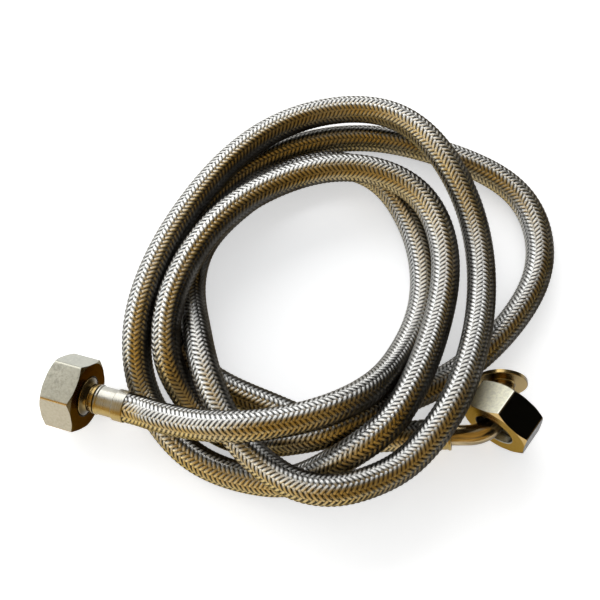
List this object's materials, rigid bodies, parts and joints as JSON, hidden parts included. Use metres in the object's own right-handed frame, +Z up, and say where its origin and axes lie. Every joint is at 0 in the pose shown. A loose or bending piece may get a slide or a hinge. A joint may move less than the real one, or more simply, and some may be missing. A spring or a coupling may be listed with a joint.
{
  "type": "dishwasher inlet hose",
  "caption": "Coiled steel-braided water inlet hose with a straight union nut on one end and a bent elbow with a loose union nut on the other.",
  "frame": {"origin": "on the table, under the middle of the box round the two fittings", "axes": "+Z up from the table, +X from the straight fitting towards the elbow fitting"},
  "size_m": [0.2367, 0.2023, 0.0462],
  "materials": {
    "braid": "bright woven stainless wire",
    "nickel": "machined, nickel plated",
    "brass": "machined, lightly tarnished",
    "ferrule_steel": "smooth crimped sheet",
    "sealing_rubber": "matte"
  },
  "bodies": {
    "hose_and_fittings": {"hose": "braid", "straight_tail": "brass", "straight_sealing_washer": "sealing_rubber", "straight_ferrule": "ferrule_steel", "elbow_tube": "nickel", "elbow_flange": "brass", "elbow_ferrule": "ferrule_steel"},
    "straight_nut": {"straight_union_nut": "nickel"},
    "elbow_nut": {"elbow_union_nut": "nickel"}
  },
  "joints": [
    {"name": "straight_nut_spin", "type": "hinge", "parent": "hose_and_fittings", "child": "straight_nut", "pos_m": [-0.09105, 0.00215, 0.01672], "axis": [0.9504, -0.286, 0.1219], "continuous": true},
    {"name": "elbow_nut_spin", "type": "hinge", "parent": "hose_and_fittings", "child": "elbow_nut", "pos_m": [0.0887, -0.0132, 0.01763], "axis": [-0.6164, -0.7862, 0.0436], "continuous": true}
  ]
}
